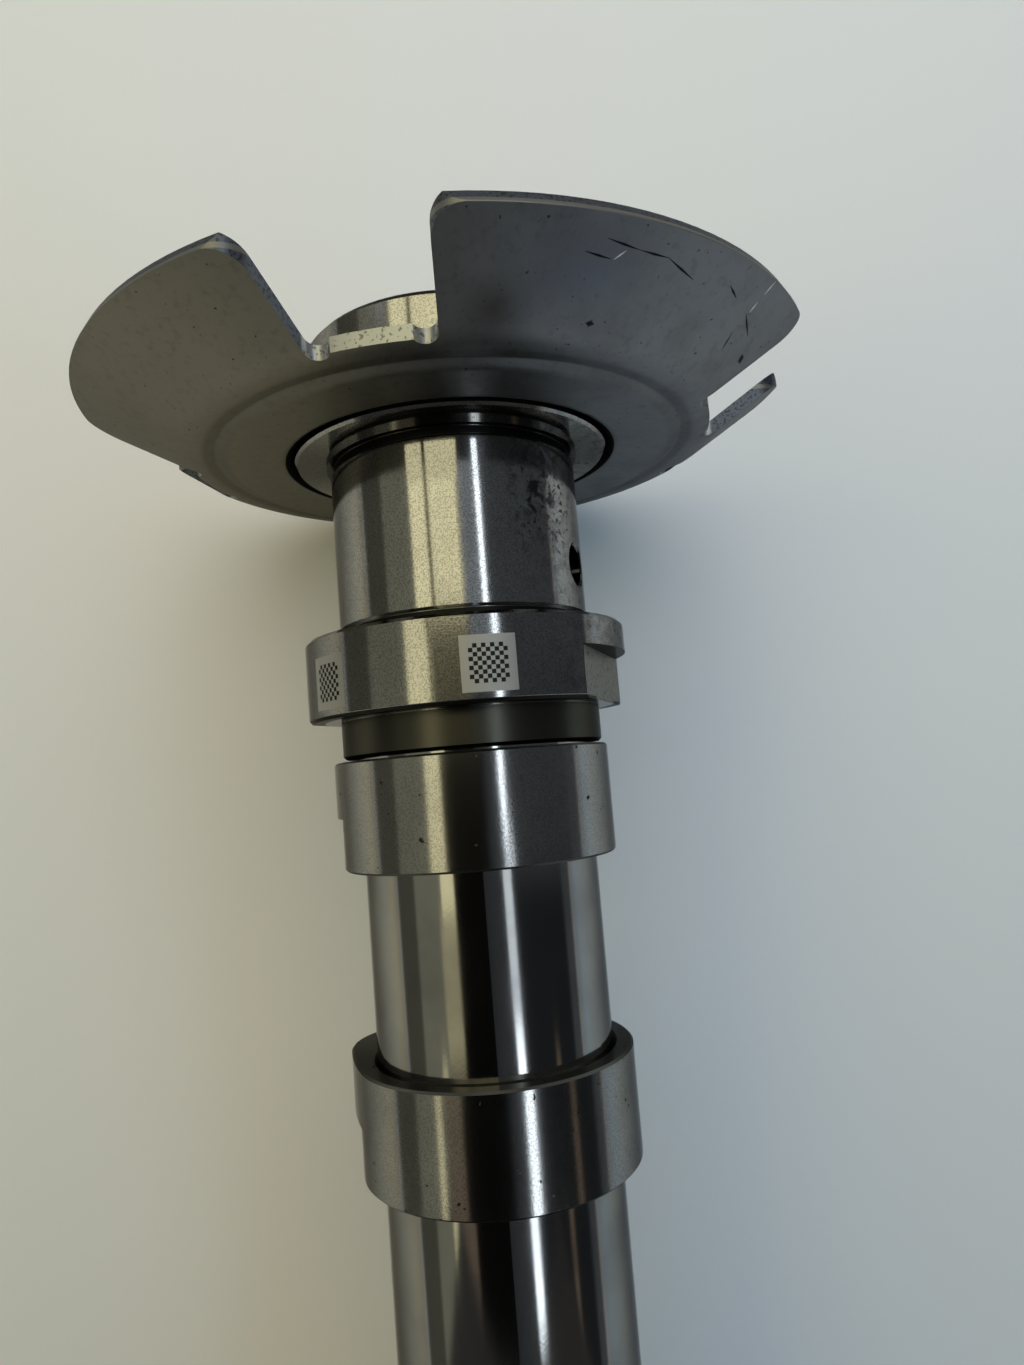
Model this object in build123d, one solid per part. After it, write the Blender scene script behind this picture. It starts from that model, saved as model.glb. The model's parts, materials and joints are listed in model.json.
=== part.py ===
"""Assembled camshaft of a four-cylinder engine, lying at rest.

Everything is modelled about the shaft's own axis first: local Z runs from the
front face towards the rear, local X points up at rest, and turning angles count
from X about Z. The last section lays the finished pieces down.
"""
from build123d import *
from math import acos, asin, atan2, cos, degrees, hypot, radians, sin, tan
import os

# ---- driving dimensions, millimetres and degrees ----------------------------

# shaft tube
tube_d = 28.0
tube_wall = 4.0
tube_socket_depth = 29.5       # how far the tube is pushed into the drive end
tube_tail = 17.0               # tube behind the last cam
tube_chamfer = 1.0

# drive end, from the front face backwards
hub_d = 34.7                   # carries the phaser
hub_length = 9.9
hub_chamfer = 0.8
seat_d = 39.0                  # carries the trigger wheel
seat_length = 4.5
seat_chamfer = 0.3
lip_height = 0.45              # thin thrust lip in front of the journal
lip_length = 0.5
journal_wall = 1.25            # over the tube
journal_length = 19.5
journal_chamfer = 0.3
relief_depth = 0.4             # grinding reliefs at both ends of the journal
front_relief_length = 1.0
rear_relief_length = 1.3
collar_wall = 5.55             # spanner collar
collar_length = 9.6
collar_flange_length = 3.6     # the full round part in front of the flats
collar_chamfer = 0.4
flat_height = 1.2              # the flats stand this far above the neck
flats_angle = -70.5
neck_wall = 1.8
neck_length = 4.45
neck_chamfer = 0.35

# phaser bolt thread, M16 x 1.5, drilled to its core
thread_core_d = 14.5
countersink_d = 17.0

# oil feed hole in the front journal
oil_hole_d = 4.9
oil_hole_mouth_d = 5.6
oil_hole_from_front = 29.7
oil_hole_angle = -67.0

# trigger wheel, pressed from sheet
sheet = 1.5
wheel_setback = 0.2            # plate in front of the end of its seat
plate_width = 7.9              # flat inner plate, from the seat to the step
step_width = 1.2
step_height = 0.65
land_width = 1.4               # flat ring between the step and the bend of the vanes
flare_bend_radius = 7.25       # bends are given at the middle of the sheet
flare_length = 14.93           # along the sheet, from the start of the bend to the rim
shallow_flare = 27.6
deep_flare = 34.0
bore_bend_radius = 0.9
step_bend_radius = 1.4
gap_floor_margin = 2.3         # the gaps stop this far outside the start of that bend
notch_radius = 1.28
notch_depth = 0.7
vane_corner_radius = 3.0
rim_trim = 0.05                # the punch takes the rim's sharp corner off
top_gap = (12.0, 23.0)         # middle and width, degrees
left_gap = (99.9, 23.2)        # the two gaps that part the shallow vanes from the deep ones
right_gap = (-76.5, 23.0)
narrow_gap = (-111.0, 6.0)

# cams
cam_wall = 2.375               # over the tube, at the base circle
cam_width = 12.8
low_track_width = 6.7
cam_edge_chamfer = 0.25
cam_bore_chamfer = 0.45
flank_radius = 45.0
low_lift = 2.9
low_nose_radius = 8.4
low_nose_angle = 120.0
high_lift = 5.4
high_nose_radius = 6.5
high_nose_angle = 148.0

# engine layout
firing_order = (1, 3, 4, 2)
cylinder_spacing = 90.0
valve_spacing = 35.0
first_cam_gap = 0.3            # between the neck and the first cam

# plug in the rear end of the tube
plug_length = 6.0
plug_wall = 1.5
plug_recess = 1.2

# ---- diameters that follow the tube ------------------------------------------

tube_bore_d = tube_d - 2 * tube_wall
journal_d = tube_d + 2 * journal_wall
lip_d = journal_d + 2 * lip_height
collar_d = tube_d + 2 * collar_wall
neck_d = tube_d + 2 * neck_wall
across_flats = neck_d + 2 * flat_height
base_circle_d = tube_d + 2 * cam_wall

# ---- the wheel's own diameters, from its seat outwards -----------------------

plate_d = seat_d + 2 * plate_width
flare_start_d = plate_d + 2 * (step_width + land_width)
gap_floor_d = flare_start_d + 2 * gap_floor_margin

# ---- stations, from the front face backwards ---------------------------------

seat_start = hub_length
shoulder_face = seat_start + seat_length
journal_start = shoulder_face + lip_length + front_relief_length
journal_end = journal_start + journal_length
collar_start = journal_end + rear_relief_length
flats_start = collar_start + collar_flange_length
collar_end = collar_start + collar_length
drive_end_length = collar_end + neck_length
tube_start = drive_end_length - tube_socket_depth
first_cylinder = drive_end_length + first_cam_gap + (cam_width + valve_spacing) / 2
last_cam_end = first_cylinder + (len(firing_order) - 1) * cylinder_spacing + (cam_width + valve_spacing) / 2
tube_end = last_cam_end + tube_tail
plate_back = shoulder_face - wheel_setback
countersink_depth = (countersink_d - thread_core_d) / 2


def polar(radius, angle):
    """Point in the plane across the axis."""
    return (radius * cos(radians(angle)), radius * sin(radians(angle)))


def turned(points):
    """Solid of revolution from (radius, station) points."""
    with BuildPart() as body:
        with BuildSketch(Plane.XZ):
            with BuildLine():
                Polyline(*points, close=True)
            make_face()
        revolve(axis=Axis.Z)
    return body.part


def drive_end():
    """Hub, wheel seat, front journal, spanner collar and neck, turned in one piece."""
    hub, seat, lip = hub_d / 2, seat_d / 2, lip_d / 2
    journal, collar, neck = journal_d / 2, collar_d / 2, neck_d / 2
    relief = journal - relief_depth
    socket, core = tube_d / 2, thread_core_d / 2
    body = turned([
        (core, countersink_depth), (countersink_d / 2, 0), (hub - hub_chamfer, 0), (hub, hub_chamfer),
        (hub, seat_start), (seat, seat_start),
        (seat, shoulder_face - seat_chamfer), (seat - seat_chamfer, shoulder_face),
        (lip, shoulder_face), (lip, shoulder_face + lip_length), (relief, shoulder_face + lip_length),
        (relief, journal_start), (journal - journal_chamfer, journal_start),
        (journal, journal_start + journal_chamfer), (journal, journal_end - journal_chamfer),
        (journal - journal_chamfer, journal_end), (relief, journal_end), (relief, collar_start),
        (collar - collar_chamfer, collar_start), (collar, collar_start + collar_chamfer),
        (collar, collar_end - collar_chamfer), (collar - collar_chamfer, collar_end),
        (neck, collar_end), (neck, drive_end_length - neck_chamfer),
        (neck - neck_chamfer, drive_end_length), (socket, drive_end_length),
        (socket, tube_start), (core, tube_start),
    ])
    return body - spanner_flats() - oil_hole()


def spanner_flats():
    """What the milling cutter takes off the collar: two opposite flats, open to the rear."""
    depth = collar_d - across_flats
    length = collar_end - flats_start
    flats = Part()
    for turn in (0, 180):
        middle = (across_flats + depth) / 2
        block = Pos(middle, 0, flats_start + length / 2) * Box(depth, 2 * collar_d, length)
        flats += Rot(0, 0, flats_angle + turn) * block
    # the neck stays round under the flats
    keep = Pos(0, 0, flats_start) * Cylinder(neck_d / 2, length, align=(Align.CENTER, Align.CENTER, Align.MIN))
    return flats - keep


def oil_hole():
    """Radial drilling from the tube's bore out through the journal, with a broken edge."""
    drilling = Cylinder(oil_hole_d / 2, journal_d, align=(Align.CENTER, Align.CENTER, Align.MIN))
    bevel = (oil_hole_mouth_d - oil_hole_d) / 2
    mouth = Pos(0, 0, journal_d / 2 - bevel) * Cone(
        oil_hole_d / 2, oil_hole_mouth_d / 2 + bevel, 2 * bevel, align=(Align.CENTER, Align.CENTER, Align.MIN)
    )
    outwards = Pos(0, 0, oil_hole_from_front) * Rot(0, 0, oil_hole_angle) * Rot(0, 90, 0)
    return outwards * (drilling + mouth)


def shaft_tube():
    """Precision steel tube that carries every other piece."""
    outer, bore = tube_d / 2, tube_bore_d / 2
    body = turned([
        (bore, tube_start), (outer, tube_start),
        (outer, tube_end - tube_chamfer), (outer - tube_chamfer, tube_end), (bore, tube_end),
    ])
    return body - oil_hole()


def end_plug():
    """Pressed cup that closes the rear end of the tube."""
    radius = tube_bore_d / 2
    mouth = tube_end - plug_recess
    start = mouth - plug_length
    return turned([
        (0, start), (radius, start), (radius, mouth),
        (radius - plug_wall, mouth), (radius - plug_wall, start + plug_wall), (0, start + plug_wall),
    ])


def flare_rim(slope):
    """Radius and station of the rim at the middle of the sheet, for a flare of this slope."""
    bend = radians(slope)
    straight = flare_length - flare_bend_radius * bend
    radius = flare_start_d / 2 + flare_bend_radius * sin(bend) + straight * cos(bend)
    drop = flare_bend_radius * (1 - cos(bend)) + straight * sin(bend)
    return radius, plate_back - sheet / 2 - step_height - drop


def rim_edge(slope):
    """Radius and station of the rim's outermost corner, on the rear side of the sheet."""
    radius, station = flare_rim(slope)
    return radius + sheet / 2 * sin(radians(slope)), station + sheet / 2 * cos(radians(slope))


def wheel_blank(slope, start, end):
    """The pressed sheet between two angles, before its gaps are cut: collar, plate, step and flare."""
    collar = (seat_d + sheet) / 2
    plate = plate_back - sheet / 2
    raised = plate - step_height
    flare_corner = flare_start_d / 2 + flare_bend_radius * tan(radians(slope) / 2)
    with BuildPart() as blank:
        with BuildSketch(Plane.XZ):
            with BuildLine() as section:
                FilletPolyline(
                    (collar, seat_start), (collar, plate), (plate_d / 2, plate),
                    (plate_d / 2 + step_width, raised), (flare_corner, raised), flare_rim(slope),
                    radius=[bore_bend_radius, step_bend_radius, step_bend_radius, flare_bend_radius],
                )
            trace(section.line, line_width=sheet)
        revolve(axis=Axis.Z, revolution_arc=end - start)
    return Rot(0, 0, start) * blank.part


def sector(inner, outer, start, end):
    """Piece of a flat ring between two radii and two angles."""
    middle = (start + end) / 2
    with BuildSketch() as piece:
        with BuildLine():
            ThreePointArc(polar(inner, start), polar(inner, middle), polar(inner, end))
            ThreePointArc(polar(outer, start), polar(outer, middle), polar(outer, end))
            Line(polar(inner, start), polar(outer, start))
            Line(polar(inner, end), polar(outer, end))
        make_face()
    return piece.sketch


def gap(centre, width):
    """What the punch takes out between two vanes: its sides run tangent into round root notches."""
    start, end = centre - width / 2, centre + width / 2
    floor = gap_floor_d / 2
    notch_centre = floor - notch_depth + notch_radius
    inset = degrees(asin(notch_radius / notch_centre))
    tangent_radius = notch_centre * cos(radians(inset))
    notches = Sketch()
    for angle in (start + inset, end - inset):
        notches += Pos(*polar(notch_centre, angle)) * Circle(notch_radius)
    root = sector(floor, notch_centre, start + inset, end - inset)
    return sector(tangent_radius, 2 * gap_floor_d, start, end) + root + notches


def wheel_outline(slope):
    """Plan of the wheel: a disc with unequal gaps, notched at the root of every vane."""
    rim = rim_edge(slope)[0] - rim_trim
    plan = Circle(rim) - [gap(*place) for place in (top_gap, left_gap, right_gap, narrow_gap)]
    corners = plan.vertices().filter_by(lambda corner: hypot(corner.X, corner.Y) > rim - rim_trim)
    return fillet(corners, vane_corner_radius)


def trigger_wheel():
    """Sensor wheel: its gaps stamped through, and its vanes pressed forwards to two depths."""
    left, right = left_gap[0], right_gap[0]
    wheel = Part()
    for slope, start, end in ((shallow_flare, right, left), (deep_flare, left, right + 360)):
        wheel += wheel_blank(slope, start, end) & extrude(wheel_outline(slope), plate_back + sheet)
    return wheel


def cam_outline(lift, nose_radius, nose_angle):
    """Base circle and nose circle joined by two convex flanks."""
    base = base_circle_d / 2
    nose_centre = Vector(base + lift - nose_radius, 0)
    to_base = flank_radius - base
    to_nose = flank_radius - nose_radius
    spread = degrees(acos((nose_centre.X ** 2 + to_base ** 2 - to_nose ** 2) / (2 * nose_centre.X * to_base)))

    def flank(side):
        """Where one flank leaves the base circle, its middle, and where it meets the nose."""
        centre = Vector(*polar(to_base, side * spread))
        on_base = centre - centre.normalized() * flank_radius
        on_nose = centre + (nose_centre - centre).normalized() * flank_radius
        middle = centre + (on_base + on_nose - centre * 2).normalized() * flank_radius
        return on_base, middle, on_nose

    with BuildSketch() as outline:
        with BuildLine():
            (base_a, middle_a, nose_a), (base_b, middle_b, nose_b) = flank(1), flank(-1)
            ThreePointArc(base_a, (-base, 0), base_b)
            ThreePointArc(base_b, middle_b, nose_b)
            ThreePointArc(nose_b, (base + lift, 0), nose_a)
            ThreePointArc(nose_a, middle_a, base_a)
        make_face()
    return Rot(0, 0, nose_angle) * outline.sketch


def cam(front, phase):
    """One cam ring with its low-lift and high-lift tracks side by side."""
    low = extrude(cam_outline(low_lift, low_nose_radius, low_nose_angle), low_track_width)
    high = Pos(0, 0, low_track_width) * extrude(
        cam_outline(high_lift, high_nose_radius, high_nose_angle), cam_width - low_track_width
    )
    low = chamfer(low.faces().sort_by(Axis.Z)[0].edges(), cam_edge_chamfer)
    high = chamfer(high.faces().sort_by(Axis.Z)[-1].edges(), cam_edge_chamfer)
    bore = turned([
        (0, 0), (tube_d / 2 + cam_bore_chamfer, 0), (tube_d / 2, cam_bore_chamfer),
        (tube_d / 2, cam_width - cam_bore_chamfer), (tube_d / 2 + cam_bore_chamfer, cam_width), (0, cam_width),
    ])
    return Pos(0, 0, front) * Rot(0, 0, phase) * (low + high - bore)


def cams():
    """Every cam by name: a pair for each cylinder, turned by the firing order."""
    pieces = {}
    for index, cylinder in enumerate(sorted(firing_order)):
        phase = firing_order.index(cylinder) * 360 / len(firing_order)
        for letter, side in (("a", -1), ("b", 1)):
            middle = first_cylinder + index * cylinder_spacing + side * valve_spacing / 2
            pieces[f"cam_{cylinder}{letter}"] = cam(middle - cam_width / 2, phase)
    return pieces


# ---- laid down as the shaft rests: on the wheel's rim and the last cam --------

rim_radius, rim_back = rim_edge(deep_flare)
touch_radius = base_circle_d / 2
tilt = atan2(rim_radius - touch_radius, last_cam_end - cam_edge_chamfer - rim_back)
rearwards = Vector(cos(tilt), 0, -sin(tilt))
upwards = Vector(sin(tilt), 0, cos(tilt))
at_rest = Plane(origin=rearwards * -countersink_depth, x_dir=upwards, z_dir=rearwards).location

pieces = {
    "shaft_tube": shaft_tube(),
    "drive_end": drive_end(),
    "trigger_wheel": trigger_wheel(),
    "end_plug": end_plug(),
    **cams(),
}

os.makedirs("parts", exist_ok=True)
for name, piece in pieces.items():
    export_step(at_rest * piece, f"parts/{name}.step")
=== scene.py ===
"""Dresses the camshaft: the finish of every piece, the bolt's thread, and a plain studio."""

import json
import math

import bpy
from bpy.props import FloatProperty, FloatVectorProperty, IntProperty, PointerProperty
from mathutils import Matrix, Vector


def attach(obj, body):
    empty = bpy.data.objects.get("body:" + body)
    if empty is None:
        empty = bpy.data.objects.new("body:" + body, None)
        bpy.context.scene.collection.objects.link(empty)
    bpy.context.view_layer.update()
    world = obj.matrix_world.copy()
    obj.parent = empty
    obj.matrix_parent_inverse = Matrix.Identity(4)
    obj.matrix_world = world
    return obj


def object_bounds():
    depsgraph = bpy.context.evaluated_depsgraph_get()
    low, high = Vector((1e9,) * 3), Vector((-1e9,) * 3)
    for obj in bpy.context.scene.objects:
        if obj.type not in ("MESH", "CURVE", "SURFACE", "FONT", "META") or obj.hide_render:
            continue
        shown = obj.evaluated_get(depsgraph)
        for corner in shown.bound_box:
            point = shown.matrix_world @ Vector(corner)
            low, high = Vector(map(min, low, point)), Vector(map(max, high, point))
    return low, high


bl_info = {
    "name": "Camshaft Dresser",
    "version": (1, 1, 0),
    "blender": (4, 5, 0),
    "location": "View3D > Sidebar > Camshaft",
    "description": "Gives the camshaft its finishes, wear, thread and studio",
    "category": "Object",
}

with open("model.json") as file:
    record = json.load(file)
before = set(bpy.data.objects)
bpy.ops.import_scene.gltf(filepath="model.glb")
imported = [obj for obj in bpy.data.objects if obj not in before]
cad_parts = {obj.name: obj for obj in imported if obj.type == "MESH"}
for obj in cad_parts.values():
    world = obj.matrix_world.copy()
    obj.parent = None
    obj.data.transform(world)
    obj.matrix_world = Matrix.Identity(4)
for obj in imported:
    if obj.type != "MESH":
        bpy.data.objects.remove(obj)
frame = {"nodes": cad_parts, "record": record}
NODES = frame["nodes"]
CAD_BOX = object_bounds()
MOUNTS = {mount["name"]: mount for mount in frame["record"]["mounts"]}
MM = 0.001

# ---- the shaft's own directions ----------------------------------------------------

REARWARDS = -Vector(MOUNTS["phaser_bolt"]["axis"]).normalized()
SIDEWAYS = Vector((0, 1, 0))
UPWARDS = REARWARDS.cross(SIDEWAYS)
# where the front face stands along the axis, in metres
FRONT_STATION = Vector(MOUNTS["front_face"]["pos_m"]).dot(REARWARDS)
# the axis leans down by this much towards the rear
DIP = math.atan2(-REARWARDS.z, REARWARDS.x)

# ---- stations that the finishes follow, in millimetres behind the front face -------

FRONT_EDGE = (-0.1, 0.8)
# painted highlight along the cut edge of the vanes' rim
RIM_HIGHLIGHT = (6.86, 7.40)
LIP_FACE = (14.6, 15.2)
FRONT_RELIEF = (14.95, 15.85)
OIL_HOLE = (27.0, 32.4)
OIL_HOLE_GLINT = (29.7, 30.1)
REAR_RELIEF = (35.45, 36.65)
LABEL_START = 39.25
FLATS_WALL = (40.2, 40.5)
FLATS = (40.4, 46.2)
COLLAR_EDGE = (45.95, 46.38)
NECK = (46.35, 50.7)
NECK_EDGE = (50.42, 50.8)
THREAD_START = 1.6
STUDIO_MIDDLE = 53.7

# ---- radii that they follow, in millimetres ----------------------------------------

TUBE_RADIUS = MOUNTS["bearing_1"]["dims"]["r_mm"]
JOURNAL_RADIUS = MOUNTS["front_bearing"]["dims"]["r_mm"]
COLLAR_RADIUS = 19.55
COLLAR_CHAMFER = (17.6, 17.9)
BEND_RADIUS = 20.6
CUT_FROM = (22.5, 23.5)
LAND = (27.3, 30.2)
GAP_FLOOR = (33.5, 33.0)
NEAR_CARD = (19.6, 34)


def outwards(azimuth):
    """Direction away from the axis; azimuth counts in degrees from the top towards +Y."""
    turn = math.radians(azimuth)
    return UPWARDS * math.cos(turn) + SIDEWAYS * math.sin(turn)


def on_shaft(station, radius, azimuth):
    """Point at a station behind the front face and a radius, both in millimetres."""
    return REARWARDS * (FRONT_STATION + station * MM) + outwards(azimuth) * radius * MM


# ---- shader helpers ----------------------------------------------------------------


def add(tree, kind, settings=None, **inputs):
    """Adds a node; an input is a value or the socket that feeds it, named or counted as i0, i1."""
    node = tree.nodes.new(kind)
    for name, value in (settings or {}).items():
        setattr(node, name, value)
    for name, value in inputs.items():
        counted = name[0] == "i" and name[1:].isdigit()
        socket = node.inputs[int(name[1:]) if counted else name]
        if isinstance(value, bpy.types.NodeSocket):
            tree.links.new(value, socket)
        else:
            socket.default_value = value
    return node


def calculate(tree, operation, *values):
    """One Math node."""
    inputs = {f"i{index}": value for index, value in enumerate(values)}
    return add(tree, "ShaderNodeMath", {"operation": operation}, **inputs).outputs[0]


def rising(tree, value, start, end):
    """0 at start and before it, 1 at end and past it, with a smooth rise between them."""
    settings = {"interpolation_type": "SMOOTHSTEP"}
    return add(tree, "ShaderNodeMapRange", settings, i0=value, i1=start, i2=end).outputs[0]


def within(tree, value, low, high, soft):
    """1 where a value lies between two limits, with soft ends."""
    start = rising(tree, value, low - soft, low + soft)
    end = rising(tree, value, high + soft, high - soft)
    return calculate(tree, "MULTIPLY", start, end)


def stroke_group():
    """Node group: 1 along a tapering stroke between two points of the plane across the axis."""
    if "stroke" in bpy.data.node_groups:
        return bpy.data.node_groups["stroke"]
    tree = bpy.data.node_groups.new("stroke", "ShaderNodeTree")
    for name in ("Place", "Start", "End"):
        tree.interface.new_socket(name, in_out="INPUT", socket_type="NodeSocketVector")
    tree.interface.new_socket("Width", in_out="INPUT", socket_type="NodeSocketFloat")
    tree.interface.new_socket("Mask", in_out="OUTPUT", socket_type="NodeSocketFloat")
    given = add(tree, "NodeGroupInput").outputs

    def vectors(operation, *values):
        """One Vector Math node."""
        inputs = {f"i{index}": value for index, value in enumerate(values)}
        node = add(tree, "ShaderNodeVectorMath", {"operation": operation}, **inputs)
        return node.outputs["Value" if operation in ("DOT_PRODUCT", "LENGTH") else "Vector"]

    from_start = vectors("SUBTRACT", given["Place"], given["Start"])
    whole = vectors("SUBTRACT", given["End"], given["Start"])
    covered = vectors("DOT_PRODUCT", from_start, whole)
    length_squared = vectors("DOT_PRODUCT", whole, whole)
    along = calculate(tree, "DIVIDE", covered, length_squared)
    along = add(tree, "ShaderNodeClamp", i0=along).outputs[0]
    nearest = add(tree, "ShaderNodeVectorMath", {"operation": "SCALE"}, i0=whole, Scale=along).outputs[0]
    distance = vectors("LENGTH", vectors("SUBTRACT", from_start, nearest))
    from_middle = calculate(tree, "ABSOLUTE", calculate(tree, "SUBTRACT", along, 0.5))
    # the stroke narrows to a fifth of its width at both ends, and is solid over its inner part
    narrowing = 1.6
    solid = 0.3
    taper = calculate(tree, "SUBTRACT", 1.0, calculate(tree, "MULTIPLY", from_middle, narrowing))
    half_width = calculate(tree, "MULTIPLY", given["Width"], taper)
    inner = calculate(tree, "MULTIPLY", half_width, solid)
    add(tree, "NodeGroupOutput", Mask=rising(tree, distance, half_width, inner))
    return tree


class Finish:
    """A finish, built up in layers. Places are millimetres along and across the shaft, angles degrees."""

    def __init__(self, name, colour, roughness, metallic=1.0):
        self.material = bpy.data.materials.new(name)
        self.material.use_nodes = True
        self.tree = self.material.node_tree
        self.shader = self.tree.nodes["Principled BSDF"]
        self.shader.inputs["Metallic"].default_value = metallic
        self.shader.inputs["Specular Tint"].default_value = (0.45, 0.45, 0.45, 1)
        self.colour = (*colour, 1)
        self.roughness = roughness
        self.relief = None
        self.measure()

    def measure(self):
        """Station, radius and azimuth of the shaded point, and how far its face looks rearwards."""
        tree = self.tree
        place = add(tree, "ShaderNodeTexCoord").outputs["Object"]
        turned = add(tree, "ShaderNodeVectorRotate", {"rotation_type": "Y_AXIS"}, Vector=place, Angle=-DIP)
        start = (FRONT_STATION, 0, 0)
        moved = add(tree, "ShaderNodeVectorMath", {"operation": "SUBTRACT"}, i0=turned.outputs[0], i1=start)
        scaled = add(tree, "ShaderNodeVectorMath", {"operation": "SCALE"}, i0=moved.outputs[0], Scale=1 / MM)
        self.place = scaled.outputs[0]
        self.station, side, up = add(tree, "ShaderNodeSeparateXYZ", i0=self.place).outputs
        self.azimuth = calculate(tree, "DEGREES", calculate(tree, "ARCTAN2", side, up))
        self.across = add(tree, "ShaderNodeCombineXYZ", X=side, Y=up).outputs[0]
        length = add(tree, "ShaderNodeVectorMath", {"operation": "LENGTH"}, i0=self.across)
        self.radius = length.outputs["Value"]
        normal = add(tree, "ShaderNodeNewGeometry").outputs["True Normal"]
        looks = add(tree, "ShaderNodeVectorMath", {"operation": "DOT_PRODUCT"}, i0=normal, i1=REARWARDS)
        self.rearward_face = looks.outputs["Value"]

    def rising(self, value, start, end):
        """Smooth step of a value."""
        return rising(self.tree, value, start, end)

    def within(self, value, low, high, soft):
        """Band of a value."""
        return within(self.tree, value, low, high, soft)

    def both(self, *masks):
        """Product of masks."""
        result = masks[0]
        for mask in masks[1:]:
            result = calculate(self.tree, "MULTIPLY", result, mask)
        return result

    def noise(self, scale, detail, place=None, roughness=0.5):
        """Noise with features of about 1/scale millimetres."""
        inputs = {"Vector": place or self.place, "Scale": scale, "Detail": detail, "Roughness": roughness}
        return add(self.tree, "ShaderNodeTexNoise", **inputs).outputs[0]

    def patches(self, scale, detail, start, end, roughness=0.5):
        """Mask of patches: 0 where the noise is below start, 1 where it is above end."""
        return self.rising(self.noise(scale, detail, roughness=roughness), start, end)

    def turning_lines(self, across=6.0):
        """Fine lines that run round the axis; a degree of turn counts for only a small step along them."""
        stretch = 0.02
        depth = calculate(self.tree, "ADD", self.station, self.radius)
        arc = calculate(self.tree, "MULTIPLY", self.azimuth, stretch)
        place = add(self.tree, "ShaderNodeCombineXYZ", X=depth, Y=arc).outputs[0]
        return self.noise(across, 3.0, place, 0.65)

    def helix_lines(self, slant):
        """Fine lines that climb round the tube at a slant in degrees."""
        across = 5.0
        stretch = 0.06
        arc = calculate(self.tree, "MULTIPLY", self.azimuth, math.radians(TUBE_RADIUS))
        flat = add(self.tree, "ShaderNodeCombineXYZ", X=self.station, Y=arc).outputs[0]
        settings = {"rotation_type": "Z_AXIS"}
        turned = add(self.tree, "ShaderNodeVectorRotate", settings, Vector=flat, Angle=math.radians(slant))
        settings = {"operation": "MULTIPLY"}
        drawn = add(self.tree, "ShaderNodeVectorMath", settings, i0=turned.outputs[0], i1=(1, stretch, 1))
        return self.noise(across, 3.0, drawn.outputs[0], 0.6)

    def strokes(self, width, *runs):
        """Mask of tapering strokes; each run is a chain of (radius, azimuth) points."""
        mask = None
        for run in runs:
            points = [Vector((math.sin(math.radians(a)), math.cos(math.radians(a)), 0)) * r for r, a in run]
            for start, end in zip(points, points[1:]):
                inputs = {"Place": self.across, "Start": start, "End": end, "Width": width}
                drawn = add(self.tree, "ShaderNodeGroup", {"node_tree": stroke_group()}, **inputs)
                mask = calculate(self.tree, "MAXIMUM", mask, drawn.outputs[0]) if mask else drawn.outputs[0]
        return mask

    def layer(self, mask, colour=None, roughness=None):
        """Lays a colour, a roughness or both over what is there."""
        if colour:
            inputs = {"i0": mask, "i6": self.colour, "i7": (*colour, 1)}
            self.colour = add(self.tree, "ShaderNodeMix", {"data_type": "RGBA"}, **inputs).outputs[2]
        if roughness is not None:
            inputs = {"i0": mask, "i2": self.roughness, "i3": roughness}
            self.roughness = add(self.tree, "ShaderNodeMix", **inputs).outputs[0]

    def shade(self, mask, share):
        """Darkens to a share of the colour where the mask is 1."""
        tint = add(self.tree, "ShaderNodeMix", i0=mask, i2=1.0, i3=share).outputs[0]
        scaled = add(self.tree, "ShaderNodeVectorMath", {"operation": "SCALE"}, i0=self.colour, Scale=tint)
        self.colour = scaled.outputs[0]

    def carve(self, height, depth):
        """Relief of a depth in millimetres, on top of the relief so far."""
        inputs = {"Height": height, "Strength": 1.0, "Distance": depth * MM}
        if self.relief:
            inputs["Normal"] = self.relief
        self.relief = add(self.tree, "ShaderNodeBump", **inputs).outputs[0]

    def done(self):
        """Joins the layers to the shader and returns the material."""
        layers = {"Base Color": self.colour, "Roughness": self.roughness, "Normal": self.relief}
        for name, value in layers.items():
            if isinstance(value, bpy.types.NodeSocket):
                self.tree.links.new(value, self.shader.inputs[name])
            elif value is not None:
                self.shader.inputs[name].default_value = value
        return self.material


# ---- the finishes ------------------------------------------------------------------


def drive_end_steel(finish, marks):
    """Lapped journal, turned hub and neck, milled flats, painted shade in the reliefs and two frosted label
    fields.
    """
    steel = Finish("drive_end_steel", finish.ground_colour, finish.ground_roughness)
    cloudy = [share * 0.88 for share in finish.ground_colour]
    steel.layer(steel.patches(0.12, 3.0, 0.35, 0.75), colour=cloudy)
    steel.shade(steel.patches(5.4, 2.0, 0.46, 0.58, roughness=0.6), 0.66)
    mottle = steel.patches(0.7, 4.0, 0.42, 0.66, roughness=0.6)
    steel.shade(steel.both(mottle, steel.rising(steel.azimuth, 15, 50)), 0.68)
    steel.carve(steel.noise(3.6, 1.5), 0.0014)
    neck = steel.within(steel.station, *NECK, 0.05)
    steel.layer(neck, colour=(0.105, 0.10, 0.082), roughness=0.28)
    steel.shade(steel.within(steel.station, REAR_RELIEF[1], NECK[0], 0.05), 0.88)
    # painted shade on both sides of the shaft
    painted_side_shade(steel)
    steel.carve(steel.turning_lines(), 0.0016)
    journal_stains_and_lip_shade(steel)
    milled_flats(steel)
    # painted shade in the edges, the reliefs and the wall in front of each flat
    painted_shade_edges(steel)
    # painted highlight on the oil hole's wall
    oil_hole_glint(steel)
    label_fields(steel, marks)
    return steel.done()


def painted_side_shade(steel):
    """Painted shade: darkens both sides of the lying shaft."""
    turn = calculate(steel.tree, "ABSOLUTE", steel.azimuth)
    steel.shade(steel.both(steel.rising(turn, 36, 72), steel.rising(turn, 125, 88)), 0.46)


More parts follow.
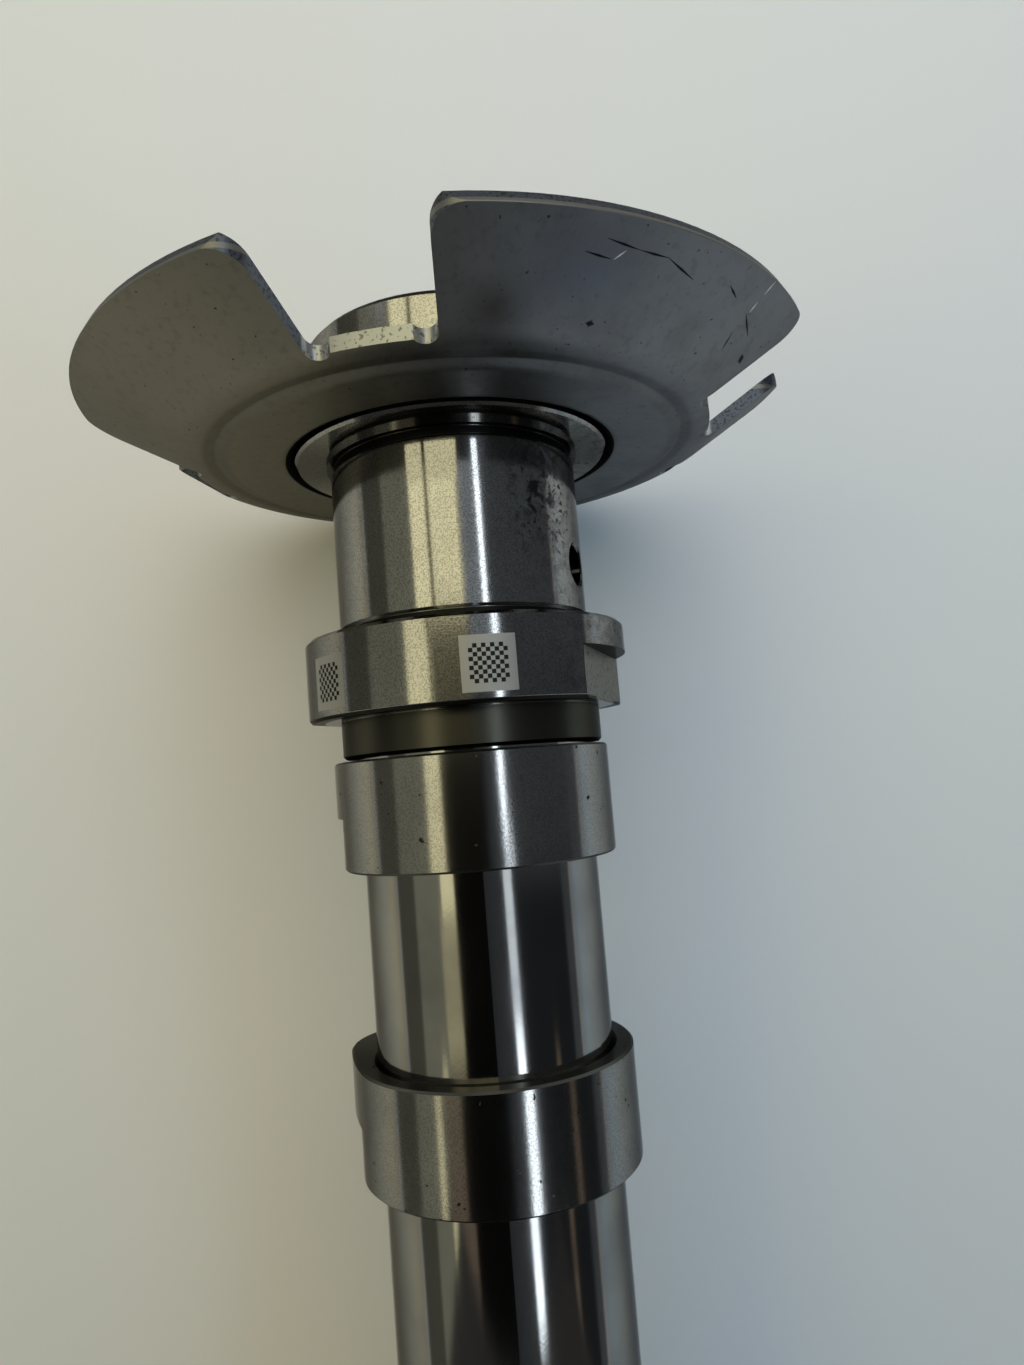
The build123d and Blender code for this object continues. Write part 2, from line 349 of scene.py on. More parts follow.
def journal_stains_and_lip_shade(steel):
    """Grease, flecks and specks on one side of the drive end, and painted shade on the rear face of its
    thrust lip.
    """
    blot = steel.patches(0.6, 5.0, 0.50, 0.59, roughness=0.7)
    side = steel.within(steel.azimuth, 28, 52, 9)
    front = steel.within(steel.station, 16.0, 25.5, 4.0)
    steel.layer(steel.both(side, front, blot), colour=(0.07, 0.07, 0.08), roughness=0.3)
    flecks = steel.patches(1.4, 4.0, 0.54, 0.60, roughness=0.65)
    side = steel.within(steel.azimuth, 26, 60, 8)
    front = steel.within(steel.station, 16.0, 28, 4.0)
    steel.layer(steel.both(side, front, flecks), colour=(0.08, 0.08, 0.085), roughness=0.35)
    # painted shade on the rear face of the thrust lip
    rear = steel.rising(steel.rearward_face, 0.8, 0.95)
    steel.shade(steel.both(rear, steel.within(steel.station, *LIP_FACE, 0.1)), 0.55)
    specks = steel.patches(1.5, 2.0, 0.62, 0.70)
    side = steel.rising(steel.azimuth, 25, 75)
    steel.layer(steel.both(specks, side), colour=(0.07, 0.07, 0.07), roughness=0.4)


def milled_flats(steel):
    """The mill leaves the spanner flats dull and pitted."""
    length = steel.within(steel.station, *FLATS, 0.05)
    below_collar = steel.rising(steel.radius, COLLAR_RADIUS - 0.06, COLLAR_RADIUS - 0.16)
    flat = steel.both(length, below_collar)
    steel.layer(flat, colour=(0.36, 0.35, 0.31), roughness=0.42)
    pits = steel.patches(2.2, 3.0, 0.55, 0.66)
    steel.layer(steel.both(flat, pits), colour=(0.12, 0.12, 0.11))


def painted_shade_edges(steel):
    """Painted shade in the collar's rear chamfer, the edges, the reliefs and the wall in front of each flat.
    """
    rear_edge = steel.within(steel.station, *COLLAR_EDGE, 0.03)
    chamfer = steel.both(rear_edge, steel.rising(steel.radius, *COLLAR_CHAMFER))
    steel.layer(chamfer, colour=(0.03, 0.03, 0.026), roughness=0.3)
    for dark in (FRONT_EDGE, FRONT_RELIEF, REAR_RELIEF, NECK_EDGE):
        steel.layer(steel.within(steel.station, *dark, 0.04), colour=(0.02, 0.02, 0.018), roughness=0.4)
    rear = steel.rising(steel.rearward_face, 0.5, 0.8)
    wall = steel.both(rear, steel.within(steel.station, *FLATS_WALL, 0.05))
    steel.layer(wall, colour=(0.05, 0.05, 0.045), roughness=0.3)


def oil_hole_glint(steel):
    """A painted highlight on the drilled wall of the oil hole, where it catches the light."""
    length = steel.within(steel.station, *OIL_HOLE, 0.1)
    side = steel.within(steel.azimuth, 55, 90, 1)
    below_journal = steel.rising(steel.radius, JOURNAL_RADIUS - 0.15, JOURNAL_RADIUS - 0.35)
    drilled = steel.both(length, side, below_journal)
    glint = steel.within(steel.station, *OIL_HOLE_GLINT, 0.25)
    steel.layer(steel.both(drilled, glint), colour=(0.9, 0.88, 0.80), roughness=0.5)


def label_fields(steel, marks):
    """Two frosted fields on the collar, each with a plain regular chequer in place of a code."""
    tree = steel.tree
    on_collar = steel.rising(steel.radius, COLLAR_RADIUS - 0.15, COLLAR_RADIUS - 0.08)
    per_degree = math.radians(COLLAR_RADIUS)
    half = marks.label_size / 2
    inner = half * 0.7
    cell = 2 * inner / marks.label_cells
    for middle in (marks.label_azimuth, marks.second_label_azimuth):
        arc = calculate(tree, "MULTIPLY", calculate(tree, "SUBTRACT", steel.azimuth, middle), per_degree)
        down = calculate(tree, "SUBTRACT", steel.station, LABEL_START + half)
        field = steel.both(
            steel.within(arc, -half, half, 0.04), steel.within(down, -half, half, 0.04), on_collar
        )
        steel.layer(field, colour=(0.50, 0.49, 0.46), roughness=0.46)
        # measured from the chequer's corner, and halfway through a layer of its cells
        from_side = calculate(tree, "ADD", arc, inner)
        from_front = calculate(tree, "ADD", down, inner)
        spot = add(tree, "ShaderNodeCombineXYZ", X=from_side, Y=from_front, Z=cell / 2)
        chequer = add(tree, "ShaderNodeTexChecker", Vector=spot.outputs[0], Scale=1 / cell).outputs["Fac"]
        inner_field = steel.both(
            steel.within(arc, -inner, inner, 0.02), steel.within(down, -inner, inner, 0.02), on_collar
        )
        code = steel.both(inner_field, chequer)
        steel.layer(code, colour=(0.03, 0.03, 0.03), roughness=0.5)


def cam_steel(finish):
    """Ground tracks with fine lines round them, and painted shade on their sides."""
    steel = Finish("cam_steel", finish.ground_colour, finish.ground_roughness + 0.02)
    cloudy = [share * 0.86 for share in finish.ground_colour]
    steel.layer(steel.patches(0.15, 3.0, 0.35, 0.75), colour=cloudy)
    steel.shade(steel.patches(5.4, 2.0, 0.46, 0.58, roughness=0.6), 0.74)
    # painted shade on the cams' side faces, next to the gaps between the pieces
    side = steel.rising(calculate(steel.tree, "ABSOLUTE", steel.rearward_face), 0.45, 0.7)
    steel.layer(side, colour=(0.13, 0.127, 0.115), roughness=0.30)
    steel.layer(steel.patches(0.9, 1.0, 0.735, 0.76), colour=(0.06, 0.05, 0.04), roughness=0.5)
    # painted shade on both sides of the shaft
    painted_side_shade(steel)
    steel.carve(steel.noise(4.2, 1.5), 0.0012)
    steel.carve(steel.turning_lines(7.0), 0.0013)
    return steel.done()


def tube_steel(finish):
    """Precision tube, honed crosswise and a little stained."""
    steel = Finish("tube_steel", finish.tube_colour, finish.tube_roughness)
    steel.layer(steel.patches(0.11, 4.0, 0.40, 0.72), colour=(0.42, 0.41, 0.40), roughness=0.12)
    # painted shade on both sides of the shaft
    painted_side_shade(steel)
    for slant in (38, -38):
        steel.carve(steel.helix_lines(slant), 0.0016)
    steel.carve(steel.noise(4.0, 1.5), 0.0012)
    return steel.done()


def sheet_steel(finish):
    """Oiled pressed sheet: satin grey, blotched, with bare cut edges and marks of handling."""
    steel = Finish("sheet_steel", finish.sheet_colour, finish.sheet_roughness)
    blotch = steel.patches(0.16, 5.0, 0.36, 0.70, roughness=0.6)
    cloudy = [share * 0.86 for share in finish.sheet_colour]
    steel.layer(blotch, colour=cloudy, roughness=finish.sheet_roughness + 0.04)
    # painted warm reflection tints the vanes towards -Y
    steel.layer(steel.rising(steel.azimuth, 12, -25), colour=(0.24, 0.228, 0.19))
    # painted shade on the land ring
    steel.shade(steel.within(steel.radius, *LAND, 0.5), 0.74)
    steel.shade(steel.patches(0.9, 4.0, 0.50, 0.72, roughness=0.6), 0.84)
    steel.layer(steel.patches(1.7, 2.0, 0.70, 0.76), colour=(0.06, 0.06, 0.065), roughness=0.5)
    steel.carve(steel.noise(2.2, 4.0, roughness=0.6), 0.006)
    steel.carve(steel.noise(0.25, 2.0), 0.02)
    # painted cool reflection on the middle of one vane, and painted shade at its foot
    painted_cool_reflection = steel.both(steel.within(steel.azimuth, 14, 26, 9), steel.within(steel.radius, 36, 42, 4))
    steel.layer(painted_cool_reflection, colour=(0.185, 0.20, 0.25))
    foot = steel.both(steel.within(steel.azimuth, 5, 11, 4), steel.within(steel.radius, 33, 37, 2.5))
    steel.layer(foot, colour=(0.10, 0.09, 0.085))
    tool_marks(steel)
    cut_edges(steel)
    # painted shade inside the bend between the plate and the seat
    painted_bend_shade = steel.rising(steel.radius, BEND_RADIUS + 0.1, BEND_RADIUS - 0.1)
    steel.layer(painted_bend_shade, colour=(0.012, 0.012, 0.012), roughness=0.6)
    return steel.done()


def tool_marks(steel):
    """What the press and handling left on the vanes' rear faces."""
    rear = steel.rising(steel.rearward_face, 0.3, 0.5)
    fine = steel.strokes(
        0.16,
        ((41.8, 21.0), (41.4, 26.0), (41.4, 30.5), (40.4, 36.3)),
        ((40.5, 18.7), (40.2, 22.6)),
        ((41.3, 43.0), (40.7, 45.9)),
        ((40.2, 50.4), (38.9, 55.9)),
        ((38.2, 51.8), (36.4, 53.6)),
    )
    steel.layer(steel.both(fine, rear), colour=(0.012, 0.012, 0.014), roughness=0.5)
    broad = steel.strokes(0.5, ((37.5, 59.6), (36.9, 61.6)), ((34.4, 23.3), (34.4, 24.6)))
    steel.layer(steel.both(broad, rear), colour=(0.03, 0.03, 0.03), roughness=0.5)
    bright = steel.strokes(
        0.14,
        ((43.7, 49.9), (42.3, 50.3)),
        ((41.5, 50.5), (40.4, 51.0)),
        ((40.2, 23.0), (41.1, 24.1)),
        ((43.6, -24.5), (42.9, -23.2)),
    )
    steel.layer(steel.both(bright, rear), colour=(0.95, 0.93, 0.88), roughness=0.6)


def cut_edges(steel):
    """The punch leaves the edges grainy, bare and bright at the floors of the gaps; a painted highlight runs
    along the rim's cut edge.
    """
    edge_on = steel.rising(calculate(steel.tree, "ABSOLUTE", steel.rearward_face), 0.6, 0.5)
    cut = steel.both(edge_on, steel.rising(steel.radius, *CUT_FROM))
    grain = steel.noise(3.0, 3.0)
    steel.layer(cut, colour=(0.15, 0.165, 0.19), roughness=0.36)
    steel.layer(steel.both(cut, steel.rising(grain, 0.5, 0.62)), colour=(0.08, 0.08, 0.085))
    gap_floor = steel.both(cut, steel.rising(steel.radius, *GAP_FLOOR))
    steel.layer(gap_floor, colour=(0.50, 0.51, 0.50), roughness=0.34)
    stained = steel.both(gap_floor, steel.patches(2.6, 2.0, 0.56, 0.66))
    steel.layer(stained, colour=(0.22, 0.21, 0.18))
    # painted highlight along the rim's cut edge
    rim_highlight = steel.both(cut, steel.within(steel.station, *RIM_HIGHLIGHT, 0.05))
    steel.layer(rim_highlight, colour=(0.30, 0.295, 0.27), roughness=0.42)


def wear(node, material):
    """Gives a CAD node its finish."""
    node.data.materials.clear()
    node.data.materials.append(material)


# ---- what a user may change --------------------------------------------------------


class CamshaftFinish(bpy.types.PropertyGroup):
    """Colours and roughnesses of the metal."""

    ground_colour: FloatVectorProperty(
        name="Ground steel",
        description="Colour of the drive end and the cams",
        subtype="COLOR",
        default=(0.54, 0.53, 0.505),
    )
    ground_roughness: FloatProperty(
        name="Ground roughness",
        description="Roughness of the drive end and the cams",
        default=0.11,
        min=0,
        max=1,
        subtype="FACTOR",
    )
    tube_colour: FloatVectorProperty(
        name="Tube steel", description="Colour of the tube", subtype="COLOR", default=(0.53, 0.52, 0.49)
    )
    tube_roughness: FloatProperty(
        name="Tube roughness",
        description="Roughness of the tube",
        default=0.09,
        min=0,
        max=1,
        subtype="FACTOR",
    )
    sheet_colour: FloatVectorProperty(
        name="Sheet steel",
        description="Colour of the trigger wheel and the rear plug",
        subtype="COLOR",
        default=(0.245, 0.25, 0.262),
    )
    sheet_roughness: FloatProperty(
        name="Sheet roughness",
        description="Roughness of the trigger wheel and the rear plug",
        default=0.38,
        min=0,
        max=1,
        subtype="FACTOR",
    )


class CamshaftMarks(bpy.types.PropertyGroup):
    """Label fields and thread. Lengths are in millimetres, as on a drawing."""

    label_size: FloatProperty(
        name="Label side", description="Side of a label field in millimetres", default=6.0, min=1
    )
    label_azimuth: FloatProperty(
        name="Label angle", description="Degrees from the top to the first label", default=6.7
    )
    second_label_azimuth: FloatProperty(
        name="Second label angle", description="Degrees from the top to the second label", default=-52.5
    )
    label_cells: IntProperty(
        name="Label cells", description="Chequers along a label's side", default=9, min=2
    )
    thread_pitch: FloatProperty(
        name="Thread pitch", description="Pitch of the bolt's thread in millimetres", default=1.5
    )
    thread_height: FloatProperty(
        name="Thread height", description="Height of a thread's crest in millimetres", default=0.35
    )


class CamshaftStudio(bpy.types.PropertyGroup):
    """Camera, floor and light."""

    lens: FloatProperty(
        name="Lens", description="Focal length on a 36 mm frame", default=24.545, min=1, unit="CAMERA"
    )
    camera_height: FloatProperty(
        name="Camera height",
        description="Distance of the camera from the shaft's axis",
        default=0.11521,
        unit="LENGTH",
    )
    camera_station: FloatProperty(
        name="Camera station",
        description="Distance of the camera behind the front face",
        default=STUDIO_MIDDLE * MM,
        unit="LENGTH",
    )
    camera_pitch: FloatProperty(
        name="Pitch",
        description="Lean of the view along the shaft",
        default=0.09538,
        subtype="ANGLE",
        unit="ROTATION",
    )
    camera_roll: FloatProperty(
        name="Roll",
        description="Turn of the picture about the view",
        default=0.08001,
        subtype="ANGLE",
        unit="ROTATION",
    )
    camera_yaw: FloatProperty(
        name="Yaw",
        description="Lean of the view to the side",
        default=-0.04678,
        subtype="ANGLE",
        unit="ROTATION",
    )
    floor_colour: FloatVectorProperty(
        name="Floor", description="Colour of the floor", subtype="COLOR", default=(0.74, 0.75, 0.73)
    )
    key_power: FloatProperty(
        name="Key light", description="Power of the key light", default=0.95, min=0, unit="POWER"
    )
    fill_power: FloatProperty(
        name="Fill lights", description="Power of each fill light", default=0.52, min=0, unit="POWER"
    )
    far_power: FloatProperty(
        name="Far lights", description="Power of each far light", default=2.0, min=0, unit="POWER"
    )


# ---- operators ---------------------------------------------------------------------


class DressDriveEnd(bpy.types.Operator):
    """Finish the drive end with its journal, collar and hub"""

    bl_idname = "camshaft.dress_drive_end"
    bl_label = "Drive end"

    def execute(self, context):
        scene = context.scene
        wear(NODES["drive_end"], drive_end_steel(scene.camshaft_finish, scene.camshaft_marks))
        return {"FINISHED"}


class DressCams(bpy.types.Operator):
    """Finish every cam"""

    bl_idname = "camshaft.dress_cams"
    bl_label = "Cams"

    def execute(self, context):
        steel = cam_steel(context.scene.camshaft_finish)
        for name, node in NODES.items():
            if name.startswith("cam_"):
                wear(node, steel)
        return {"FINISHED"}


class DressTube(bpy.types.Operator):
    """Finish the shaft tube"""

    bl_idname = "camshaft.dress_tube"
    bl_label = "Shaft tube"

    def execute(self, context):
        wear(NODES["shaft_tube"], tube_steel(context.scene.camshaft_finish))
        return {"FINISHED"}


class DressSheet(bpy.types.Operator):
    """Finish the trigger wheel and the rear plug"""

    bl_idname = "camshaft.dress_sheet"
    bl_label = "Trigger wheel and plug"

    def execute(self, context):
        sheet = sheet_steel(context.scene.camshaft_finish)
        wear(NODES["trigger_wheel"], sheet)
        wear(NODES["end_plug"], sheet)
        return {"FINISHED"}


class CutThread(bpy.types.Operator):
    """Make the crests of the phaser bolt's thread"""

    bl_idname = "camshaft.cut_thread"
    bl_label = "Bolt thread"

    def execute(self, context):
        verts, faces = self.ridge(context.scene.camshaft_marks)
        mesh = bpy.data.meshes.new("bolt_thread")
        mesh.from_pydata(verts, [], faces)
        steel = Finish("thread_steel", (0.45, 0.44, 0.42), 0.3)
        steel.carve(steel.turning_lines(), 0.002)
        mesh.materials.append(steel.done())
        thread = bpy.data.objects.new("bolt_thread", mesh)
        context.scene.collection.objects.link(thread)
        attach(thread, "root")
        return {"FINISHED"}

    def ridge(self, marks):
        """One ridge that winds rearwards just clear of the hole's wall, closed at both ends."""
        hole = MOUNTS["phaser_bolt"]["dims"]
        pitch = marks.thread_pitch
        root = hole["r_mm"] - 0.01
        crest = root - marks.thread_height
        # half widths of the ridge as shares of the pitch
        foot = 0.45
        tip = 0.08
        section = ((-foot, root), (-tip, crest), (tip, crest), (foot, root))
        turns = (hole["length_mm"] - 2 * pitch) / pitch
        steps_per_turn = 60
        steps = int(turns * steps_per_turn)
        first = THREAD_START + pitch / 2
        verts, faces = [], []
        for step in range(steps + 1):
            azimuth = 360 * step / steps_per_turn
            station = first + pitch * step / steps_per_turn
            for shift, radius in section:
                verts.append(on_shaft(station + shift * pitch, radius, azimuth))
        for step in range(steps):
            for side in range(4):
                here, there = 4 * step + side, 4 * step + (side + 1) % 4
                faces.append((here, here + 4, there + 4, there))
        last = len(verts) - 4
        faces += [(0, 1, 2, 3), (last + 3, last + 2, last + 1, last)]
        return verts, faces


# ---- the studio --------------------------------------------------------------------

WHITE = (1, 1, 1)
WARM = (1.0, 0.94, 0.60)
COOL = (0.80, 0.90, 1.0)
OLIVE = (0.90, 0.90, 0.70)
BROWN = (1.0, 0.8, 0.6)
ROOM_LIGHT = (0.06, 0.06, 0.06, 1)
BACKDROP = (0.80, 0.81, 0.80, 1)


def glow(name, colour, strength, size, soft, both_sides=True):
    """Light that fades out towards a card's edges; size and soft are in one unit, such as degrees."""
    material = bpy.data.materials.new(name)
    material.use_nodes = True
    tree = material.node_tree
    tree.nodes.clear()
    place = add(tree, "ShaderNodeTexCoord").outputs["UV"]
    across, along, _ = add(tree, "ShaderNodeSeparateXYZ", i0=place).outputs
    masks = []
    for value, length in ((across, size[0]), (along, size[1])):
        rise = rising(tree, value, 0, soft / length)
        fall = rising(tree, value, 1, 1 - soft / length)
        masks.append(calculate(tree, "MULTIPLY", rise, fall))
    mask = calculate(tree, "MULTIPLY", *masks)
    if not both_sides:
        back = add(tree, "ShaderNodeNewGeometry").outputs["Backfacing"]
        mask = calculate(tree, "MULTIPLY", mask, calculate(tree, "SUBTRACT", 1.0, back))
    clear = add(tree, "ShaderNodeBsdfTransparent").outputs[0]
    light = add(tree, "ShaderNodeEmission", Color=(*colour, 1), Strength=strength).outputs[0]
    mixed = add(tree, "ShaderNodeMixShader", i0=mask, i1=clear, i2=light).outputs[0]
    add(tree, "ShaderNodeOutputMaterial", Surface=mixed)
    return material


def mirror_sheet(name, verts, spots, faces, material):
    """A sheet of the stage that only shows in polished surfaces; spots place its corners on the card."""
    mesh = bpy.data.meshes.new(name)
    mesh.from_pydata(verts, [], faces)
    unwrapped = mesh.uv_layers.new(name="card").data
    for loop in mesh.loops:
        unwrapped[loop.index].uv = spots[loop.vertex_index]
    mesh.materials.append(material)
    sheet = bpy.data.objects.new(name, mesh)
    bpy.context.scene.collection.objects.link(sheet)
    sheet.visible_camera = False
    sheet.visible_diffuse = False
    sheet.visible_shadow = False


def card(name, sideways, forwards, distance, colour, strength, soft):
    """A card over a patch of the sky; sideways and forwards are angles from straight above the shaft."""
    steps = 12
    centre = on_shaft(STUDIO_MIDDLE, 0, 0)
    width, height = sideways[1] - sideways[0], forwards[1] - forwards[0]
    verts, spots, faces = [], [], []
    for row in range(steps + 1):
        lean = math.radians(forwards[0] + height * row / steps)
        for column in range(steps + 1):
            side = sideways[0] + width * column / steps
            verts.append(centre + (outwards(side) * math.cos(lean) - REARWARDS * math.sin(lean)) * distance)
            spots.append((column / steps, row / steps))
    for row in range(steps):
        for column in range(steps):
            corner = row * (steps + 1) + column
            faces.append((corner, corner + 1, corner + steps + 2, corner + steps + 1))
    mirror_sheet(name, verts, spots, faces, glow(name, colour, strength, (width, height), soft))


def near_card(name, sideways, colour, strength):
    """A strip just behind the wheel's plate that carries a panel's reflection on to the journal's front."""
    steps = 24
    width = sideways[1] - sideways[0]
    # a ray to a side of the sky leaves the journal at a little under half that angle
    mirror_ratio = 2.15
    verts, spots, faces = [], [], []
    for step in range(steps + 1):
        side = math.radians(sideways[0] + width * step / steps)
        turn = side / mirror_ratio
        start = Vector((math.sin(turn), math.cos(turn))) * JOURNAL_RADIUS
        ray = Vector((math.sin(side), math.cos(side)))
        slope = start.dot(ray)
        for edge, radius in enumerate(NEAR_CARD):
            end = start + ray * (math.sqrt(slope**2 + radius**2 - start.length_squared) - slope)
            verts.append(on_shaft(FRONT_RELIEF[0], radius, math.degrees(math.atan2(end.x, end.y))))
            spots.append((step / steps, edge))
    for step in range(steps):
        first = 2 * step
        faces.append((first, first + 2, first + 3, first + 1))
    material = glow(name, colour, strength, (width, 1), 0.01, both_sides=False)
    mirror_sheet(name, verts, spots, faces, material)


def flag(name, place, strength):
    """A dim upright screen across the shaft's line, seen only in mirrors; place is metres along +X."""
    low = CAD_BOX[0].z
    high = 1.1
    half = 1.2
    verts = [(place, -half, low), (place, half, low), (place, half, high), (place, -half, high)]
    spots = [(0, 0), (1, 0), (1, 1), (0, 1)]
    mirror_sheet(name, verts, spots, [(0, 1, 2, 3)], glow(name, WHITE, strength, (1, 1), 0.01))


def lamp(name, place, aim, size, power, colour, spread):
    """A soft square lamp that shows in no mirror; place, aim and size are metres, spread is degrees."""
    data = bpy.data.lights.new(name, "AREA")
    data.size = size
    data.energy = power
    data.color = colour
    data.spread = math.radians(spread)
    thing = bpy.data.objects.new(name, data)
    bpy.context.scene.collection.objects.link(thing)
    away = Vector(place) - Vector(aim)
    thing.matrix_world = Matrix.Translation(place) @ away.to_track_quat("Z", "Y").to_matrix().to_4x4()
    thing.visible_glossy = False


class BuildStudio(bpy.types.Operator):
    """Make the floor, the cards, the lamps and the camera"""

    bl_idname = "camshaft.build_studio"
    bl_label = "Studio"

    def execute(self, context):
        studio = context.scene.camshaft_studio
        self.floor(studio)
        self.surround()
        self.windows()
        self.lamps(studio)
        self.sky(context)
        self.camera(context, studio)
        return {"FINISHED"}

    def floor(self, studio):
        """A plain pale floor under the lying shaft."""
        low = CAD_BOX[0].z
        reach = 2.5
        corners = [(-reach, -reach, low), (reach, -reach, low), (reach, reach, low), (-reach, reach, low)]
        mesh = bpy.data.meshes.new("floor")
        mesh.from_pydata(corners, [], [(0, 1, 2, 3)])
        paper = Finish("floor_paper", studio.floor_colour, 0.6, metallic=0.0)
        mesh.materials.append(paper.done())
        floor = bpy.data.objects.new("floor", mesh)
        bpy.context.scene.collection.objects.link(floor)

    def surround(self):
        """Walls, ceiling, pale ends and flags that polished steel shows around the windows."""
        card("left_wall", (-95, -42), (-80, 80), 2.4, OLIVE, 0.21, 1.5)
        card("ceiling", (-43, 24), (-80, 80), 2.45, WHITE, 0.003, 0.5)
        card("right_wall", (23, 95), (-80, 80), 2.4, COOL, 0.075, 1.5)
        card("right_wall_middle", (24, 80), (-8, 8), 2.35, COOL, 0.06, 2.0)
        card("right_wall_rear", (28, 82), (-44, -5), 2.3, COOL, 0.018, 3.0)
        for end, lean in (("front", (31, 80)), ("rear", (-66, -40))):
            card(f"left_{end}", (-95, -44), lean, 1.85, (1, 1, 0.96), 0.9, 3.0)
            card(f"right_{end}", (30, 95), lean, 1.85, (0.96, 0.98, 1), 0.9, 3.0)
        card("left_shade", (-95, -69), (-80, 80), 2.2, OLIVE, 0.08, 1.5)
        card("right_rail", (57, 63), (-45, -16), 2.2, BROWN, 0.13, 1.5)
        flag("rear_flag", 0.9, 0.03)
        flag("front_flag", -0.7, 0.30)

    def windows(self):
        """Lit panels: a warm window with a bar on one side and a long cool tube on the other."""
        card("warm_window", (-42, 5), (10, 60), 2.0, WARM, 1.20, 0.8)
        card("warm_sill", (-42, -22), (3, 11), 2.0, WARM, 1.15, 0.8)
        card("warm_step", (-26, 5), (3, 11), 2.0, WARM, 0.14, 1.0)
        card("warm_lower", (-42, -28), (-9, 4), 2.0, WARM, 0.95, 0.8)
        card("warm_middle", (-45, -28), (-18, -8), 2.0, WARM, 0.42, 1.0)
        card("brown_rear", (-45, -30), (-45, -17), 2.0, BROWN, 0.15, 1.0)
        card("strip_rear", (-52.5, -46.5), (-45, -17), 1.95, WARM, 0.80, 0.8)
        card("window_bar", (-27, -23.6), (10, 62), 1.8, WARM, 0.02, 0.5)
        near_card("warm_near", (-42, -27), WARM, 0.95)
        near_card("warm_near_middle", (-24, 5), WARM, 0.95)
        near_card("cool_near", (18, 23), COOL, 2.5)
        card("cool_haze", (4, 19), (5, 60), 2.1, COOL, 0.28, 1.5)
        card("cool_haze_rear", (4, 19), (-45, 6), 2.1, COOL, 0.04, 6.0)
        card("cool_tube", (18, 23), (-4, 60), 1.9, COOL, 3.6, 0.8)
        card("cool_tube_middle", (18, 27), (-16, -3), 1.9, COOL, 1.1, 1.0)
        card("cool_tube_rear", (19, 27), (-45, -15), 1.9, COOL, 3.0, 1.0)

    def lamps(self, studio):
        """A key light ahead of the wheel, a fill on each side and a ring that keeps the far floor pale."""
        lamp("key_light", (-0.20, 0.04, 0.37), (-0.25, 0.04, 0), 0.5, studio.key_power, (1.0, 1.0, 0.98), 130)
        amber = (1.0, 0.80, 0.25)
        blue = (0.25, 0.60, 1.0)
        lamp("warm_fill", (0.08, -0.45, 0.38), (0.06, -0.15, -0.04), 0.4, studio.fill_power, amber, 130)
        lamp("cool_fill", (0.18, 0.45, 0.38), (0.12, 0.15, -0.04), 0.4, studio.fill_power, blue, 130)
        distance = 1.4
        height = 0.9
        for turn in range(0, 360, 45):
            x = distance * math.cos(math.radians(turn))
            y = distance * math.sin(math.radians(turn))
            lamp(f"far_light_{turn}", (x, y, height), (x, y, 0), 1.0, studio.far_power, (1, 1, 0.99), 100)

    def sky(self, context):
        """Grey light for the floor; the pale backdrop shows to the camera, in mirrors and through glass."""
        world = bpy.data.worlds.new("studio_world")
        context.scene.world = world
        world.use_nodes = True
        tree = world.node_tree
        tree.nodes.clear()
        path = add(tree, "ShaderNodeLightPath").outputs
        seen = calculate(tree, "MAXIMUM", path["Is Camera Ray"], path["Is Glossy Ray"])
        seen = calculate(tree, "MAXIMUM", seen, path["Is Transmission Ray"])
        light = add(tree, "ShaderNodeBackground", Color=ROOM_LIGHT, Strength=1.0).outputs[0]
        backdrop = add(tree, "ShaderNodeBackground", Color=BACKDROP, Strength=1.0).outputs[0]
        mixed = add(tree, "ShaderNodeMixShader", i0=seen, i1=light, i2=backdrop).outputs[0]
        add(tree, "ShaderNodeOutputWorld", Surface=mixed)

    def camera(self, context, studio):
        """A camera close above the shaft, looking down on it."""
        data = bpy.data.cameras.new("camera")
        data.sensor_width = 36.0
        data.lens = studio.lens
        data.clip_start = 0.005
        camera = bpy.data.objects.new("camera", data)
        context.scene.collection.objects.link(camera)
        picture = Matrix((SIDEWAYS, -UPWARDS, -REARWARDS)).transposed()
        lean = (
            Matrix.Rotation(studio.camera_yaw, 3, "Z")
            @ Matrix.Rotation(studio.camera_pitch, 3, "X")
            @ Matrix.Rotation(studio.camera_roll, 3, "Y")
        )
        right, ahead, up = (picture @ lean).transposed()
        turn = Matrix((right, up, -ahead)).transposed().to_4x4()
        place = on_shaft(studio.camera_station / MM, studio.camera_height / MM, 0)
        camera.matrix_world = Matrix.Translation(place) @ turn
        context.scene.camera = camera
        context.scene.view_settings.view_transform = "Standard"


class CamshaftPanel(bpy.types.Panel):
    """Lists the camshaft's operators and settings"""

    bl_idname = "VIEW3D_PT_camshaft"
    bl_label = "Camshaft"
    bl_space_type = "VIEW_3D"
    bl_region_type = "UI"
    bl_category = "Camshaft"

    def draw(self, context):
        layout = self.layout
        for operator in OPERATORS:
            layout.operator(operator.bl_idname)
        scene = context.scene
        for group in (scene.camshaft_finish, scene.camshaft_marks, scene.camshaft_studio):
            for name in group.__annotations__:
                layout.prop(group, name)


OPERATORS = (DressDriveEnd, DressCams, DressTube, DressSheet, CutThread, BuildStudio)
CLASSES = (CamshaftFinish, CamshaftMarks, CamshaftStudio, *OPERATORS, CamshaftPanel)


def register():
    """Register the classes and hang their settings on the scene."""
    for item in CLASSES:
        bpy.utils.register_class(item)
    bpy.types.Scene.camshaft_finish = PointerProperty(type=CamshaftFinish)
    bpy.types.Scene.camshaft_marks = PointerProperty(type=CamshaftMarks)
    bpy.types.Scene.camshaft_studio = PointerProperty(type=CamshaftStudio)


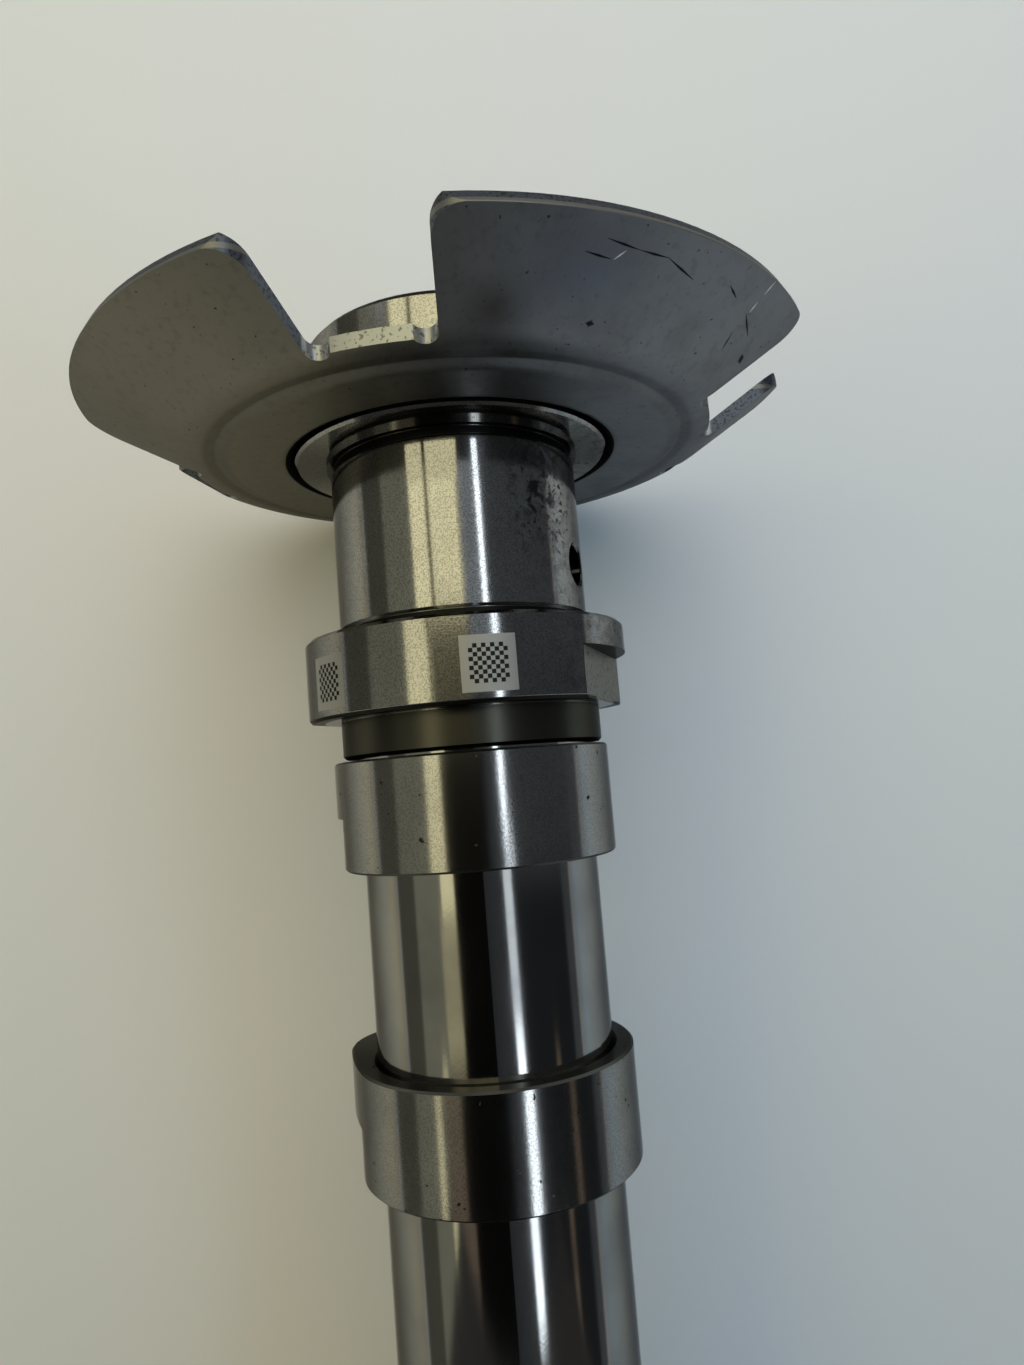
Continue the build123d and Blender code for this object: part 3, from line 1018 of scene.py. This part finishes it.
def unregister():
    """Take the settings and classes away again."""
    del bpy.types.Scene.camshaft_studio
    del bpy.types.Scene.camshaft_marks
    del bpy.types.Scene.camshaft_finish
    for item in reversed(CLASSES):
        bpy.utils.unregister_class(item)


def main():
    """Dress the whole shaft."""
    register()
    bpy.ops.camshaft.dress_drive_end()
    bpy.ops.camshaft.dress_cams()
    bpy.ops.camshaft.dress_tube()
    bpy.ops.camshaft.dress_sheet()
    bpy.ops.camshaft.cut_thread()
    bpy.ops.camshaft.build_studio()
    bpy.context.view_layer.update()


if __name__ == "__main__":
    main()
